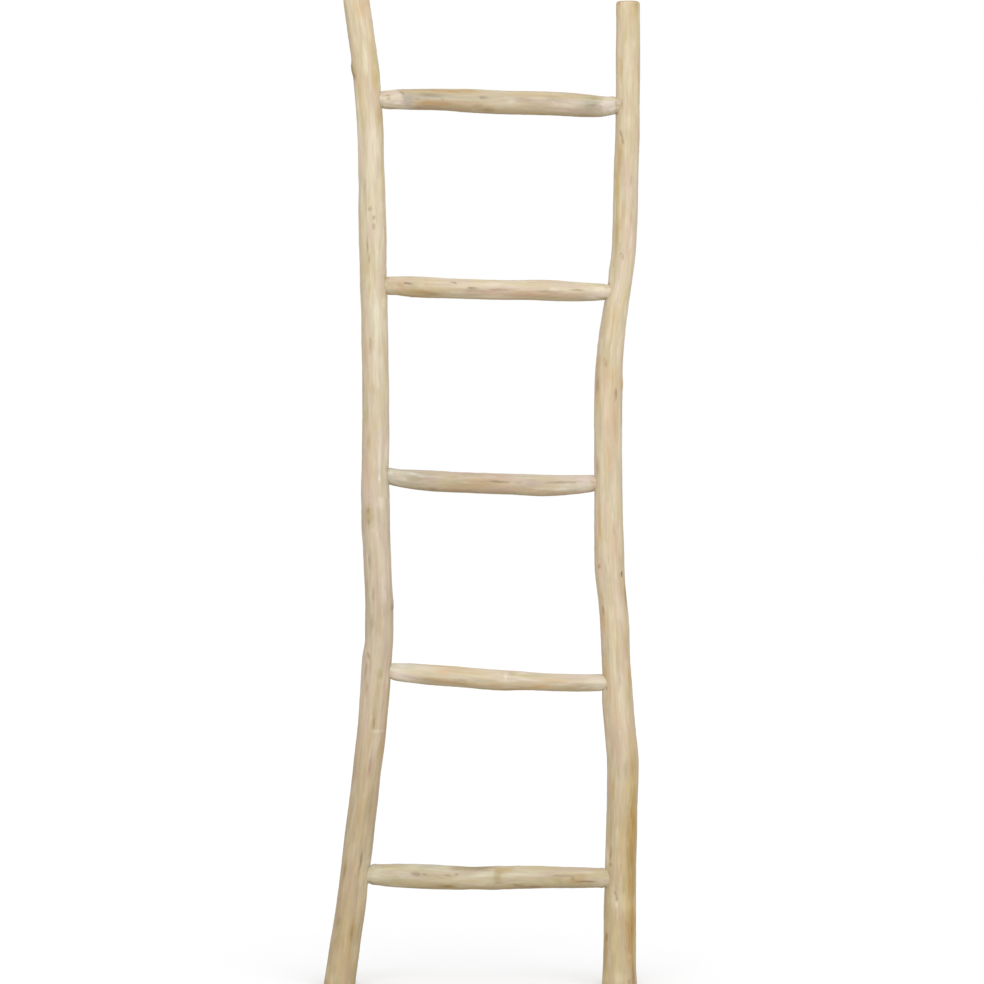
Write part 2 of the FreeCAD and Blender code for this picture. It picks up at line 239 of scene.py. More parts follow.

# Tone along each branch, foot to top or left to right: share of its length, then tint. On the rails the
# darkening towards the foot is painted shade where the light falls off lower down, over the wood's own tone.
TONE_AND_SHADE_SHARES = {
    "left_rail": (
        (0.00, (0.68, 0.60, 0.46)), (0.12, (0.72, 0.66, 0.56)), (0.22, (0.74, 0.67, 0.59)),
        (0.28, (0.84, 0.79, 0.75)), (0.37, (0.81, 0.77, 0.74)), (0.43, (0.86, 0.82, 0.82)),
        (0.56, (0.92, 0.90, 0.89)), (0.68, (1.00, 0.98, 0.96)), (0.82, (1.00, 0.99, 0.96)),
        (0.93, (0.95, 0.91, 0.83)), (1.00, (1.01, 0.97, 0.90)),
    ),
    "right_rail": (
        (0.00, (0.77, 0.70, 0.56)), (0.16, (0.81, 0.76, 0.63)), (0.22, (0.86, 0.81, 0.73)),
        (0.28, (0.88, 0.82, 0.75)), (0.47, (0.96, 0.93, 0.89)), (0.62, (0.93, 0.87, 0.78)),
        (0.72, (1.02, 1.01, 0.98)), (0.83, (0.95, 0.92, 0.86)), (1.00, (1.00, 0.95, 0.86)),
    ),
    "top_rung": ((0.0, (0.79, 0.75, 0.71)), (0.5, (0.86, 0.83, 0.79)), (1.0, (0.85, 0.84, 0.84))),
    "upper_rung": ((0.0, (0.90, 0.86, 0.81)), (0.5, (0.96, 0.93, 0.92)), (1.0, (0.96, 0.94, 0.92))),
    "middle_rung": ((0.0, (0.78, 0.79, 0.82)), (0.5, (0.81, 0.77, 0.76)), (1.0, (0.90, 0.89, 0.91))),
    "lower_rung": ((0.0, (0.92, 0.92, 0.94)), (0.5, (0.93, 0.91, 0.90)), (1.0, (0.90, 0.88, 0.86))),
    "bottom_rung": ((0.0, (0.76, 0.76, 0.71)), (0.5, (0.78, 0.77, 0.70)), (1.0, (0.80, 0.77, 0.70))),
}


class Mark(NamedTuple):
    """A mark on the wood, under a pixel of the photograph."""

    x: float
    y: float
    long: float  # half length along the grain, in pixels
    wide: float  # half width across the grain, in pixels, as the camera sees it
    strength: float = 0.6
    bump: float = 0.0  # height in millimetres
    tilt: float = 0.0  # degrees
    crisp: float = 1.4  # 1 for a soft edge, and more for a sharp one


# Marks where the photograph doesn't reach, drawn at random
BACK_MARKS = (
    ("brown", Mark(0, 0, 3, 1.6, bump=0.4)),
    ("brown", Mark(0, 0, 9, 1.2, 0.45)),
    ("ochre", Mark(0, 0, 20, 3)),
    ("rose", Mark(0, 0, 16, 3.5)),
    ("olive", Mark(0, 0, 14, 2.4, 0.5)),
    ("orange", Mark(0, 0, 18, 3, 0.5)),
    ("bone", Mark(0, 0, 14, 3.5, 0.25)),
)
BACK_MARK_SIZE_SHARES = (0.7, 1.4)
BACK_MARK_SPACING = 22 * MM
BACK_MARK_REACH = math.radians(85)  # to either side of the back

# Marks that the photograph shows, by branch and tint
MARKS = {}
MARKS["left_rail"] = {
    "plain": [
        Mark(358.5, 189, 14, 4, bump=-1.4), Mark(361, 529, 10, 4, bump=1.2),
        Mark(392.5, 588, 48, 6, bump=-2), Mark(364, 642, 10, 4, bump=-1.5),
        Mark(360.5, 934, 18, 5, bump=-1.6),
    ],
    "bark": [
        Mark(367.5, 245, 9, 1.1), Mark(387, 469, 3, 1.6, 0.35), Mark(368.4, 511, 3, 1.5, 0.35, bump=-0.3),
        Mark(369, 521.5, 3, 1.4, 0.4, bump=-0.3), Mark(361.3, 859, 9, 1.2, 0.7, bump=-0.25),
    ],
    "bone": [
        Mark(352.5, 31, 10, 2.2, 0.35), Mark(356, 44, 9, 3, 0.35), Mark(365, 62, 12, 5, 0.3),
        Mark(377.5, 85, 6, 2, 0.4), Mark(358, 104, 10, 2.5, 0.35), Mark(359.5, 135, 20, 2.6, 0.5),
        Mark(375, 140, 30, 4, 0.25), Mark(381, 181, 9, 2.4, 0.4), Mark(377, 259, 10, 3, 0.38),
        Mark(378, 310, 25, 4, 0.25), Mark(384, 302, 6, 2.4, 0.4), Mark(378, 380, 10, 2, 0.35),
        Mark(380, 452, 28, 1.8, 0.45), Mark(386, 451, 10, 2, 0.4), Mark(379.5, 478, 3, 1.2, 0.7),
        Mark(380.5, 503, 6, 4, 0.55), Mark(386, 493, 8, 2, 0.35), Mark(373, 531, 2.4, 1, 0.45),
        Mark(377, 535, 2.2, 0.9, 0.35), Mark(385.5, 596, 7, 1.5, 0.45), Mark(378, 643, 9, 3, 0.35),
        Mark(388.5, 679, 8, 2.4, 0.5), Mark(370, 718, 12, 1.5, 0.35),
        Mark(378, 731.5, 0.9, 6.5, 0.55, bump=0.3, crisp=3), Mark(374.5, 748, 12, 2.4, 0.3),
        Mark(352, 791, 10, 2.6, 0.4), Mark(346, 853, 14, 2.6, 0.35), Mark(368.5, 862, 4, 1.6, 0.45),
        # Mark(366, 886) is painted light that lifts the shade the bottom rung casts on the rail beside it
        Mark(366, 886, 30, 4.2, 0.9), Mark(345, 886, 10, 3, 0.4), Mark(333, 936, 9, 2, 0.4),
        Mark(339.5, 970, 13, 2.4, 0.45), Mark(341, 954, 10, 2.5, 0.35), Mark(354, 958, 12, 2.6, 0.4),
        Mark(333, 979, 5, 9, 0.35), Mark(327.5, 972, 7, 1.8, 0.5),
    ],
    "brown": [
        Mark(353, 67, 7, 1.4, 0.5), Mark(354, 75.5, 3.5, 1.3, 0.7), Mark(370, 209, 2.2, 1.8, bump=0.3),
        Mark(374, 217.5, 2.2, 1.3, 0.8, bump=0.3), Mark(374, 226.5, 3, 1.3, bump=-0.2),
        Mark(369.3, 259, 5, 1.2, 0.5), Mark(370.5, 345, 8, 1.4, 0.55), Mark(370, 561, 7, 1.1, 0.35),
        Mark(373.5, 594, 7, 1.3, 0.35), Mark(392.5, 608, 3, 1.5, 0.5),
        Mark(368.5, 656, 4, 1.2, 0.7, bump=-0.3, tilt=-25), Mark(366.3, 670, 8, 1.5, 0.45, bump=0.3),
        Mark(366, 688, 7, 1.3, 0.4), Mark(373.8, 724, 6.5, 1.2, 0.5, bump=-0.15),
        Mark(370, 766, 10, 1.4, 0.45), Mark(344.5, 870, 9, 1.8, 0.5), Mark(352, 934, 6, 1.2, 0.35),
        Mark(338.5, 921, 6, 2, 0.35),
    ],
    "mauve": [
        Mark(361, 33, 9, 2.5), Mark(365.3, 186, 8, 1.4, 0.8), Mark(372.5, 300, 4, 1.2, 0.5),
        Mark(382, 610, 7, 6, 0.3, crisp=2), Mark(371, 666, 5, 2.2, 0.45, bump=0.4),
    ],
    "moss": [Mark(375, 62, 24, 1.5, 0.9), Mark(382, 178, 16, 1.5)],
    "ochre": [
        Mark(367, 3, 4, 3, 0.35), Mark(375.5, 84, 9, 2.5), Mark(361, 221, 10, 2.6, 0.4),
        Mark(366, 350, 14, 3, 0.5), Mark(357, 815, 22, 3, 0.25),
    ],
    "olive": [
        Mark(353, 68, 7, 2.6, 0.9, bump=2.4), Mark(363, 125, 12, 1.6, 0.5), Mark(366, 275, 25, 4, 0.3),
        Mark(366, 415, 9, 2.2, 0.85), Mark(369.5, 516, 11, 5.5, bump=0.5),
        Mark(362, 516, 9, 1.6, 0.8, bump=1), Mark(384.5, 526, 5, 1.2), Mark(367, 603, 12, 1.8),
        Mark(393, 604, 8, 2.2, 0.5, bump=1.2, crisp=2), Mark(381, 636, 12, 5, 0.2),
        Mark(380, 673, 6, 3.2, 0.7, bump=0.4), Mark(359.5, 775, 22, 2.4, 0.4), Mark(371, 800, 22, 3.5, 0.4),
        Mark(337, 940, 14, 2, 0.45),
    ],
    "orange": [
        Mark(361.5, 10, 9, 5, 0.45), Mark(379.5, 115, 10, 2.2, 0.7), Mark(374, 341, 8, 3, 0.3),
        Mark(373.5, 389, 7, 1.4), Mark(378, 690, 10, 2.5, 0.3), Mark(379.5, 749, 11, 1.8),
    ],
    "rose": [
        Mark(356.3, 77, 3.5, 1.3, 0.7), Mark(370.5, 388, 6, 2, 0.5), Mark(366, 476, 20, 3, 0.7),
        Mark(384, 686, 6, 2, 0.5), Mark(353, 835, 8, 2, 0.4), Mark(353.5, 868, 8, 2, 0.55),
        Mark(349, 885, 20, 2, 0.35),
    ],
    "tan": [
        Mark(368, 200, 8, 2, 0.45), Mark(382, 221, 12, 2.5, 0.4), Mark(385, 277, 4, 1.6),
        Mark(363, 318, 12, 2.4, 0.45), Mark(364, 389, 14, 2.2, 0.65), Mark(369, 442, 9, 1.8, 0.55),
        Mark(369, 516, 10, 4.5, 0.4), Mark(363, 527, 7, 2.6, 0.35), Mark(367, 585, 8, 2.5, 0.45),
        Mark(372, 622, 7, 4, 0.4), Mark(381, 674, 5, 1.6, 0.4), Mark(374, 716, 9, 2, 0.5),
        Mark(371, 812, 16, 3, 0.3), Mark(358.5, 872, 7, 1.4, 0.75), Mark(357, 889, 14, 1.6, 0.5),
        Mark(352.8, 931, 10, 3.2, 0.7), Mark(346, 955, 18, 4, 0.3),
    ],
}
MARKS["right_rail"] = {
    "plain": [Mark(611.5, 250, 14, 4, bump=-1.5)],
    "bark": [
        Mark(637, 4, 5, 3, 0.28), Mark(615.2, 893, 3, 0.8, 0.5, tilt=-25), Mark(616.8, 898, 2.4, 0.8),
        Mark(634, 981, 4, 3, 0.25),
    ],
    "bone": [
        Mark(630, 60, 25, 4, 0.2), Mark(630, 122, 9, 6, 0.3), Mark(615.5, 182, 6, 1.6, 0.45),
        Mark(628.5, 203, 20, 4, 0.4), Mark(622, 290, 20, 4, 0.2), Mark(630, 277, 10, 2.5, 0.3),
        Mark(614, 622, 26, 4, 0.3), Mark(615, 637, 8, 3, 0.35), Mark(604, 690, 6, 2.2, 0.45),
        Mark(620, 700, 30, 4, 0.25), Mark(609, 749, 12, 2.5, 0.5), Mark(617, 838, 10, 3, 0.4),
        # Mark(606.5, 861) is painted light that lifts the shade the bottom rung casts on the rail beside it
        Mark(634.5, 814, 9, 2.2, 0.35), Mark(606.5, 861, 14, 2.6, 0.75),
        Mark(616.4, 904, 3.6, 1.4, 0.65, bump=0.25, tilt=-20, crisp=2), Mark(622, 903, 9, 10, 0.35, crisp=2),
        Mark(612, 893, 9, 2.5, 0.45), Mark(633.5, 907, 10, 2.5, 0.45), Mark(606, 927, 9, 2, 0.5),
        Mark(610, 955, 10, 2.5, 0.35), Mark(630, 956, 3, 2, 0.5), Mark(620, 978, 6, 5, 0.45),
        Mark(604, 978, 6, 2.5, 0.4),
    ],
    "brown": [
        # Mark(617.6, 112) is a painted shadow under the top rung's right end
        Mark(619, 2, 3, 1.6, 0.5), Mark(622, 104.5, 5, 0.9, 0.5), Mark(617.6, 112, 1.8, 1.3, 0.5),
        Mark(620.8, 133.5, 4, 1.1, 0.8, tilt=-14), Mark(623, 141, 4, 1.1, 0.8, tilt=-18),
        Mark(631, 180, 4, 1, 0.4), Mark(631, 219, 7, 1, 0.35), Mark(620.6, 255, 2, 1.2, 0.65, bump=0.2),
        Mark(622.8, 257, 2, 1.1, 0.5, bump=0.2), Mark(609.3, 284.3, 1.6, 1.2), Mark(607.5, 292.5, 1.8, 1.2),
        Mark(603.8, 360, 2.6, 1.1, 0.4), Mark(606, 364, 2.6, 1.4, 0.45, bump=0.3),
        Mark(597, 386, 9, 1.8, 0.5), Mark(615.7, 394, 6, 1.5, 0.9, bump=0.4), Mark(598, 468, 8, 1.8, 0.3),
        Mark(599.6, 566.5, 2.2, 1.1, 0.7), Mark(625.3, 598, 12, 1.3, 0.65), Mark(603.2, 610, 5, 1.1),
        Mark(604.5, 655, 7, 1.6, 0.3), Mark(606.5, 688.5, 1.8, 1.2), Mark(610.6, 854, 8, 1, bump=-0.2),
        Mark(610.8, 864.5, 1.5, 1, 0.65, bump=0.2), Mark(606.5, 937, 5, 1), Mark(633.6, 974, 11, 1.2, 0.7),
        Mark(629.5, 982, 2.4, 1, 0.5),
    ],
    "mauve": [Mark(613.6, 530, 8, 1, 0.7), Mark(626, 772, 8, 2, 0.45)],
    "moss": [Mark(619.5, 121, 8, 1.5, 0.9), Mark(598, 408, 8, 1.4)],
    "ochre": [
        Mark(634.5, 11, 9, 5, crisp=2), Mark(622, 68, 11, 1.4, 0.7), Mark(617.5, 195, 40, 2.8, 0.75),
        Mark(616.5, 238, 24, 2.4), Mark(598, 363, 10, 2.2, 0.4), Mark(611, 462, 14, 4, 0.25),
        Mark(623, 588, 8, 2, 0.4), Mark(622, 579, 5, 1.6, 0.45), Mark(633.5, 785, 40, 4.2, 0.75),
        Mark(632, 880, 95, 5.5, 0.75, crisp=3), Mark(605.5, 945, 22, 1.3, 0.9), Mark(614, 950, 18, 4, 0.35),
    ],
    "olive": [
        Mark(625, 36, 9, 4, 0.4), Mark(638, 45, 30, 1.6, 0.55), Mark(616.5, 240, 20, 2, 0.4),
        Mark(615.5, 271, 14, 2.2), Mark(611.5, 267, 8, 2.4, 0.5), Mark(605, 365, 8, 3.5, 0.35),
        Mark(621, 560, 7, 2, 0.45), Mark(621.5, 579, 18, 2.4, 0.65), Mark(629, 697, 7, 2.4, 0.65),
    ],
    "orange": [
        Mark(638.5, 75, 14, 1.4, 0.45), Mark(620, 152, 16, 3.5, 0.55), Mark(617.5, 172, 14, 2, 0.3),
        Mark(610, 318, 14, 6, 0.35), Mark(611, 376, 10, 4, 0.4), Mark(614.5, 420, 20, 3.5, 0.45),
        Mark(599.5, 530, 36, 2, 0.55), Mark(617, 545, 20, 2.2, 0.45), Mark(604.2, 622, 9, 1.5),
        Mark(605.5, 672, 12, 2, 0.5), Mark(628.4, 680, 14, 1.7, 0.75), Mark(609, 693, 7, 2, 0.35),
        Mark(612, 753, 13, 1.3, 0.45), Mark(612.6, 790, 10, 1.3, 0.7), Mark(632, 828, 18, 4, 0.7),
        Mark(630.5, 858, 24, 3, 0.45), Mark(632, 936, 24, 3.2), Mark(620, 922, 7, 3, 0.25),
    ],
    "rose": [Mark(627, 205, 40, 4.5, 0.35), Mark(606, 410, 22, 3, 0.5), Mark(619, 850, 45, 5, 0.3)],
    "tan": [
        Mark(633, 3, 4, 5, 0.35), Mark(608.3, 288, 2.4, 1.4, 0.7), Mark(622.5, 384, 6, 2, 0.5, bump=1.2),
        Mark(603, 597, 6, 1.6, 0.5), Mark(625, 612, 8, 2.4, 0.4), Mark(626.5, 647, 12, 2.4, 0.5),
        Mark(633.5, 868, 60, 2.6, 0.5, crisp=2), Mark(622, 870, 8, 3, 0.35), Mark(632, 925, 20, 2, 0.4),
        Mark(628, 925, 5, 1.8, 0.5),
    ],
    "umber": [Mark(621.5, 574.5, 3, 0.8, 0.85, bump=-0.25, crisp=2)],
}
MARKS["top_rung"] = {
    "plain": [
        Mark(383, 108, 10, 4, bump=1.8), Mark(388, 90, 8, 4, bump=-0.8), Mark(617, 97, 7, 4, bump=1.4),
    ],
    "bark": [
        Mark(402, 93.4, 3.6, 1.3, 0.55, tilt=45), Mark(392, 104, 3, 2, 0.15), Mark(445, 97.3, 12, 1.8, 0.16),
        Mark(431, 95.3, 16, 2, 0.45), Mark(478, 106.5, 5, 1.6, 0.32), Mark(552, 99, 8, 2.2, 0.28),
        Mark(595, 98.5, 5, 2.5, 0.22),
    ],
    "bone": [
        # Mark(403, 106) and Mark(405, 107.5) are painted light that lifts the shade under the rung's left
        # end
        Mark(390, 97.5, 12.5, 12, crisp=6), Mark(403, 106, 12, 4, 1), Mark(405, 107.5, 6, 1.8, 0.5),
        Mark(383.5, 105.5, 3, 2.5, 0.7), Mark(511, 102, 5, 1.6, 0.45),
        Mark(553.5, 103, 4, 0.9, 0.45, tilt=35), Mark(566, 105.6, 14, 2, 0.55),
        Mark(578, 110.5, 28, 2.6, 0.4), Mark(609, 105, 8.5, 12, 0.52, crisp=6),
        # Mark(613.5, 110) is painted light that lifts the shade in the corner under the rung's right end
        Mark(613.5, 110, 4, 2.6, 0.75),
    ],
    "brown": [
        Mark(387.4, 95.5, 1.3, 1, 0.7), Mark(387.5, 99, 1.4, 1, 0.55), Mark(417, 99.5, 2.4, 1.2, 0.35),
        Mark(442, 99.5, 1.8, 1, 0.45), Mark(483, 98, 3.5, 1.6, 0.5, bump=0.3), Mark(488, 109.5, 7, 1.6, 0.5),
        Mark(592, 105.5, 4, 1.8, 0.45), Mark(616.5, 105, 0.9, 6, 0.45, crisp=3),
    ],
    "grey": [
        Mark(408, 101, 6, 8, 0.9, crisp=2), Mark(436, 96.5, 26, 2.2, 1), Mark(482, 98, 5, 2.2, 0.8),
        Mark(498, 95, 20, 2, 0.4), Mark(590, 105, 11, 7, 0.9, crisp=2),
    ],
    "mauve": [
        Mark(408, 101, 6, 8, 0.5, crisp=2), Mark(425, 107.5, 12, 2, 0.8), Mark(526, 99.5, 10, 3, 0.65),
        Mark(578, 110.5, 28, 2.6, 0.3), Mark(607, 112, 8, 1.8, 0.3),
    ],
    "ochre": [
        Mark(440, 90.5, 42, 2), Mark(472, 91, 10, 2, 0.35), Mark(555, 96, 28, 2.2, 0.35),
        Mark(619, 100.5, 1.8, 1.6, 0.5, bump=0.5), Mark(619.5, 104.5, 1.8, 1.6, 0.3, bump=0.6),
        Mark(619, 108.5, 1.8, 1.6, 0.5, bump=0.5),
    ],
    "olive": [Mark(583, 109, 8, 3.5, 0.5), Mark(593, 106, 9, 9, 0.45, crisp=2), Mark(588, 98, 11, 2.2, 0.7)],
    "orange": [
        Mark(455, 91.5, 22, 1.4, 0.5), Mark(433, 103.5, 17, 3, 0.8, crisp=2), Mark(475, 104, 26, 2.6, 0.25),
    ],
    "rose": [Mark(452, 103, 14, 1.8, 0.8)],
    "tan": [Mark(388, 97.5, 2.4, 2.6, 0.55), Mark(574, 96.5, 9, 2.4, 0.35)],
    # A painted shadow under the rung's right end, where it meets the rail
    "umber": [Mark(616.8, 112.5, 0.9, 1, 0.45)],
}
MARKS["upper_rung"] = {
    "plain": [Mark(386, 294.5, 9, 4, bump=2)],
    "bark": [
        Mark(408, 283.4, 4.5, 0.9, 0.9, bump=-0.2, crisp=2), Mark(453.5, 282.6, 3, 0.9, 0.8),
        Mark(472, 288, 5, 1.1, 0.85), Mark(578, 290.2, 8, 1, 0.8, bump=-0.15),
    ],
    "bone": [
        Mark(456, 292.5, 11, 1.8, 0.55), Mark(474, 296.5, 36, 2.2, 0.5), Mark(493, 296.5, 12, 2.4, 0.45),
        Mark(553, 289, 4, 1.2, 0.45), Mark(600, 291, 9, 7, 0.25, crisp=2), Mark(592, 297.5, 6, 2),
    ],
    "brown": [
        Mark(432, 294.5, 10, 1.6, 0.4), Mark(475, 290.6, 15, 1, 0.45), Mark(500, 289.7, 12, 1, 0.65),
        Mark(547, 291.7, 9, 1.1, 0.4), Mark(605, 298, 1.4, 1.2, 0.5),
    ],
    "ochre": [Mark(418, 291.5, 14, 1.8, 0.85)],
    "olive": [Mark(414, 286, 5, 3, 0.5), Mark(437, 288, 6, 2.5, 0.5), Mark(540, 281, 20, 1.4, 0.5)],
    "orange": [Mark(401, 286, 5, 6, 0.45), Mark(579, 293.5, 9, 2.2, 0.3)],
    "rose": [Mark(523, 294, 14, 2)],
    "tan": [
        Mark(392, 287, 4, 2, 0.5), Mark(385, 277.5, 4, 1.6), Mark(428, 286, 5, 2, 0.5),
        Mark(450, 289.5, 9, 3, 0.35), Mark(488, 293.5, 14, 2.6, 0.3),
        Mark(535, 293.5, 32, 3.2, 0.45, crisp=2), Mark(607, 288, 2, 1.4),
    ],
}
MARKS["middle_rung"] = {
    "bark": [
        Mark(471, 474.7, 15, 2.2, 0.25), Mark(499, 481.8, 10, 1.2, 0.7, bump=-0.2, crisp=2),
        Mark(488, 481, 8, 2.4, 0.2), Mark(561, 482.3, 21, 1.2, 0.5, crisp=2),
    ],
    "bone": [
        Mark(397, 477, 9, 12, 0.18, crisp=3), Mark(390.6, 472.5, 2.6, 2.6), Mark(412.5, 473.5, 4, 1.2, 0.5),
        Mark(522, 492, 10, 2, 0.4), Mark(563, 489.3, 9, 1.7, 0.65, crisp=2),
        Mark(583, 482, 8, 6, 0.35, crisp=2), Mark(585, 489.5, 8, 2, 0.4), Mark(595.5, 480, 2.5, 1.4),
    ],
    "brown": [Mark(433, 489, 4, 1.2, 0.5), Mark(519, 482.5, 4, 1.1, 0.35)],
    "mauve": [Mark(413.5, 478.5, 6.5, 3.6, crisp=2), Mark(430, 479, 9, 5, 0.55), Mark(533, 483, 7, 3.5)],
    "olive": [
        Mark(397, 481, 8, 2.2, 0.4), Mark(413.5, 478.5, 6.5, 3.6, crisp=2), Mark(451, 480.5, 12, 4, 0.5),
    ],
    "orange": [
        Mark(455, 489, 18, 2.4, 0.4), Mark(476, 483, 16, 6, 0.5), Mark(502, 482, 12, 4, 0.35),
        Mark(594, 484, 3, 8, 0.5),
    ],
    "rose": [Mark(515, 488, 14, 2)],
    "tan": [Mark(421, 480, 4, 2, 0.5), Mark(575, 483.5, 7, 2.8, 0.5)],
}
MARKS["lower_rung"] = {
    "plain": [Mark(397, 681, 10, 4, bump=1.2), Mark(398, 663, 10, 4, bump=-1.3)],
    "bark": [Mark(509, 673, 7, 2.4, 0.22)],
    "bone": [
        Mark(398, 670, 10, 9, 0.45), Mark(402, 679, 20, 2.4, 0.5), Mark(416, 675, 8, 2.5, 0.35),
        Mark(506, 675.6, 1.8, 3.6, 0.65, bump=0.3, crisp=1.6), Mark(511, 687, 9, 2, 0.55),
        Mark(582, 688, 6, 1.8, 0.55), Mark(596, 682, 10, 8, 0.25, crisp=2), Mark(600, 688, 9, 2.6, 0.75),
    ],
    "mauve": [Mark(463, 680, 5, 1, 0.7)],
    "ochre": [Mark(430, 678.5, 10, 1.8, 0.5), Mark(496, 684.5, 8, 2.4, 0.5)],
    "olive": [
        Mark(468, 674, 16, 2.4, 0.3), Mark(514, 673, 6, 1.4), Mark(526, 675, 18, 1.8, 0.45),
        Mark(581, 685, 7, 2.4, 0.5),
    ],
    "orange": [Mark(470, 684, 12, 1.8, 0.5), Mark(542, 686, 12, 2, 0.75)],
    "rose": [Mark(443.5, 673, 5, 3.2, 0.8), Mark(553, 680, 18, 3, 0.4)],
    "tan": [Mark(447, 681.5, 24, 2.6, 0.8), Mark(536, 688, 4, 1.6, 0.4), Mark(568, 687.5, 14, 1.8, 0.4)],
}
MARKS["bottom_rung"] = {
    "plain": [
        Mark(369, 864.5, 9, 4, bump=2), Mark(366, 883.5, 7, 4, bump=2.2), Mark(608, 868.5, 8, 4, bump=2.2),
        Mark(608, 887, 8, 4, bump=2.4),
    ],
    "bark": [
        Mark(416.5, 873.8, 4, 1.6, bump=-0.2), Mark(424.8, 874.3, 2, 1, 0.55), Mark(448, 875.1, 4, 1),
        Mark(456.5, 874.2, 2, 1.1, 0.55), Mark(470, 868.3, 15, 1.8), Mark(484, 868.5, 8, 2.2, 0.45),
        Mark(563, 875.2, 12, 1.1),
    ],
    "bone": [
        Mark(374, 874, 7, 10, 0.25, crisp=2), Mark(370, 868, 4, 2, 0.45), Mark(395, 868.5, 16, 3, 0.35),
        Mark(404, 875.3, 8, 1, 0.4), Mark(413, 866.5, 9, 2.4, 0.45), Mark(398, 885.5, 9, 1.6, 0.45),
        Mark(484, 874, 9, 5, 0.4), Mark(481, 883.5, 10, 2, 0.4), Mark(535, 884, 8, 2.2, 0.35),
        Mark(530, 874, 14, 4, 0.25), Mark(602, 877, 7, 7, 0.25, crisp=2),
    ],
    "brown": [
        Mark(448, 886.5, 8, 1.4, 0.45), Mark(498, 883, 6, 1, 0.45), Mark(518.5, 885, 6, 1.3, 0.55, tilt=15),
        Mark(533, 886.5, 10, 1.2, 0.5), Mark(572.5, 878, 2.5, 2.2, 0.5, bump=0.3),
        Mark(586, 881.3, 10, 1.2, 0.75, bump=-0.2, crisp=2),
    ],
    "grey": [Mark(430, 866, 11, 1.4, 0.8)],
    "mauve": [Mark(456, 868.5, 4, 1.6, 0.8)],
    "ochre": [
        Mark(395, 882.5, 7, 1.2), Mark(448, 886, 9, 1.8, 0.9), Mark(500, 869, 11, 1.2, 0.8),
        Mark(575, 880, 9, 4, 0.75),
    ],
    "olive": [
        Mark(395, 867.5, 20, 3, 0.55), Mark(427, 875, 5, 1.6, 0.75), Mark(497.5, 875.5, 4.5, 6, crisp=2.5),
        Mark(557, 879.5, 6, 2.2, 0.7), Mark(600, 875, 9, 8, 0.4, crisp=1.6),
    ],
    "tan": [
        Mark(439, 877, 10, 2.4, 0.65), Mark(436, 886, 8, 2, 0.45), Mark(453, 876.5, 4, 1.4),
        Mark(497.5, 875.5, 4.5, 6, 0.4, crisp=2.5), Mark(504, 871, 6, 2, 0.4), Mark(502, 873, 4, 2, 0.45),
        Mark(510, 868, 6, 2, 0.35), Mark(560, 882, 4, 1.8, 0.65), Mark(583, 875, 6, 2.6),
    ],
}


def unit(vector):
    return vector / np.linalg.norm(vector)


def blur_matrix(count, sigma):
    """Weights of a soft running mean over a row of places, with sigma in places."""
    apart = np.arange(count)[:, None] - np.arange(count)
    weights = np.exp(-0.5 * (apart / sigma) ** 2)
    return weights / weights.sum(axis=1, keepdims=True)


def running_median(values, span):
    """Median of each place and its neighbours along the first axis."""
    half = span // 2
    padded = np.pad(values, ((half, half), (0, 0)), mode="edge")
    windows = np.lib.stride_tricks.sliding_window_view(padded, 2 * half + 1, axis=0)
    return np.median(windows, axis=-1)


def mesh_points(mesh):
    """Places of a mesh's vertices, one per row."""
    points = np.empty(len(mesh.vertices) * 3, np.float32)
    mesh.vertices.foreach_get("co", points)
    return points.reshape(-1, 3).astype(float)


def cad_surface(node):
    """The surface of a CAD node, for casting rays at."""
    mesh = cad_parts[node].data
    mesh.calc_loop_triangles()
    triangles = [tuple(triangle.vertices) for triangle in mesh.loop_triangles]
    return BVHTree.FromPolygons(mesh_points(mesh).tolist(), triangles)


def camera_place():
    middle = IMAGE_SIDE / 2
    return ((middle - MIDDLE_PIXEL_X) * PIXEL, -CAMERA_DISTANCE, (FLOOR_PIXEL_Y - middle) * PIXEL)


